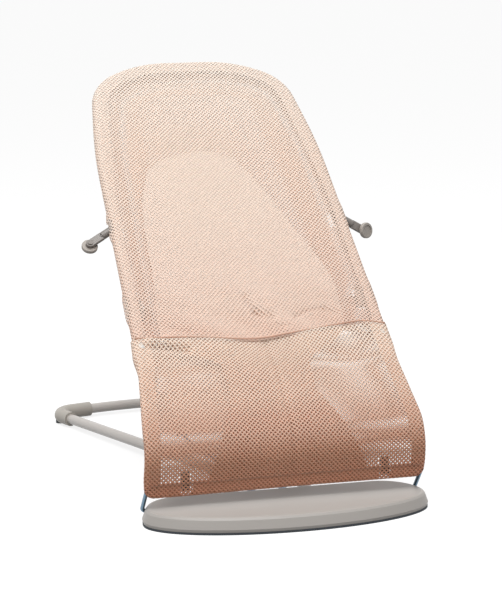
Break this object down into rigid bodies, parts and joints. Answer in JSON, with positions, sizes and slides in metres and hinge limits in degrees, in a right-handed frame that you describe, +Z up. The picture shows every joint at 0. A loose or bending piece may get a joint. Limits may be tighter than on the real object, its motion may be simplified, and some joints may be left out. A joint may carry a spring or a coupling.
{
  "type": "baby bouncer seat",
  "caption": "Low baby bouncer with a mesh seat on a bent-tube frame, a weighted front plate, sprung bounce, a reclining and folding seat, and twisting side buttons.",
  "frame": {"origin": "on the floor under the middle of the front plate, where its outline is widest", "axes": "+X to the right seen from the front, +Y from the plate to the rear bar, +Z up"},
  "size_m": [0.4227, 0.7435, 0.5596],
  "materials": {
    "plate_plastic": "satin moulded ABS, warm light grey",
    "sole_rubber": "dark matt rubber",
    "plain_steel": "zinc-plated steel",
    "frame_paint": "satin powder coat, warm light grey",
    "elbow_plastic": "matt moulded nylon, beige grey",
    "black_plastic": "matt black nylon",
    "spring_steel": "blued spring steel",
    "arm_plastic": "matt moulded nylon, grey brown",
    "button_plastic": "satin moulded nylon",
    "upper_mesh": "open knitted mesh, pearly pink",
    "inner_mesh": "fine dense mesh, pearly pink",
    "lower_mesh": "open knitted mesh, pink"
  },
  "bodies": {
    "base": {"plate_shell": "plate_plastic", "plate_pad": "sole_rubber", "ballast_plate": "plain_steel", "plate_screws": "plain_steel", "rail_left": "frame_paint", "rail_right": "frame_paint", "rail_pins": "plain_steel", "rear_bar": "frame_paint", "elbow_left": "elbow_plastic", "elbow_right": "elbow_plastic", "elbow_screws": "plain_steel", "rear_foot_left": "sole_rubber", "rear_foot_right": "sole_rubber", "hinge_rod": "plain_steel", "wire_bush_left": "black_plastic", "wire_bush_right": "black_plastic"},
    "spring_frame": {"spring_hub_left": "black_plastic", "spring_hub_right": "black_plastic", "spring_wire": "spring_steel", "rack_left": "black_plastic", "rack_right": "black_plastic"},
    "seat": {"seat_wire_left": "spring_steel", "seat_wire_right": "spring_steel", "arch_tube": "frame_paint", "coupler_left": "black_plastic", "coupler_right": "black_plastic", "hem_rod": "spring_steel", "hem_hook_left": "black_plastic", "hem_hook_right": "black_plastic", "prop_bracket_left": "arm_plastic", "prop_bracket_right": "arm_plastic", "prop_pin_left": "plain_steel", "prop_pin_right": "plain_steel", "arm_clamp_left": "arm_plastic", "arm_clamp_right": "arm_plastic", "upper_panel": "upper_mesh", "bell_panel": "inner_mesh", "lower_panel": "lower_mesh", "crotch_panel": "lower_mesh"},
    "prop": {"prop_tube": "frame_paint", "prop_eye_left": "arm_plastic", "prop_eye_right": "arm_plastic", "foot_sleeve_left": "sole_rubber", "foot_sleeve_right": "sole_rubber"},
    "arm_left": {"restraint_arm_left": "arm_plastic", "button_left": "button_plastic", "button_rivet_left": "plain_steel"},
    "arm_right": {"restraint_arm_right": "arm_plastic", "button_right": "button_plastic", "button_rivet_right": "plain_steel"}
  },
  "joints": [
    {"name": "bounce", "type": "hinge", "parent": "base", "child": "spring_frame", "pos_m": [0, 0.036, 0.0115], "axis": [1, 0, 0], "range_deg": [-3, 3], "stiffness_Nm_per_rad": 320, "springref_deg": 0.62},
    {"name": "recline", "type": "hinge", "parent": "spring_frame", "child": "seat", "pos_m": [0, 0.036, 0.0115], "axis": [1, 0, 0], "range_deg": [-41, 0]},
    {"name": "prop_swing", "type": "hinge", "parent": "seat", "child": "prop", "pos_m": [0, 0.1776, 0.24554], "axis": [1, 0, 0], "range_deg": [0, 82]},
    {"name": "arm_twist_left", "type": "hinge", "parent": "seat", "child": "arm_left", "pos_m": [-0.16246, 0.28276, 0.35068], "axis": [-0.8646, -0.049, -0.5001], "range_deg": [-12, 156]},
    {"name": "arm_twist_right", "type": "hinge", "parent": "seat", "child": "arm_right", "pos_m": [0.16246, 0.28276, 0.35068], "axis": [0.8646, -0.049, -0.5001], "range_deg": [-12, 156]}
  ],
  "couplings": [
    {"joint": "prop_swing", "follows": "recline", "ratio": -2}
  ]
}
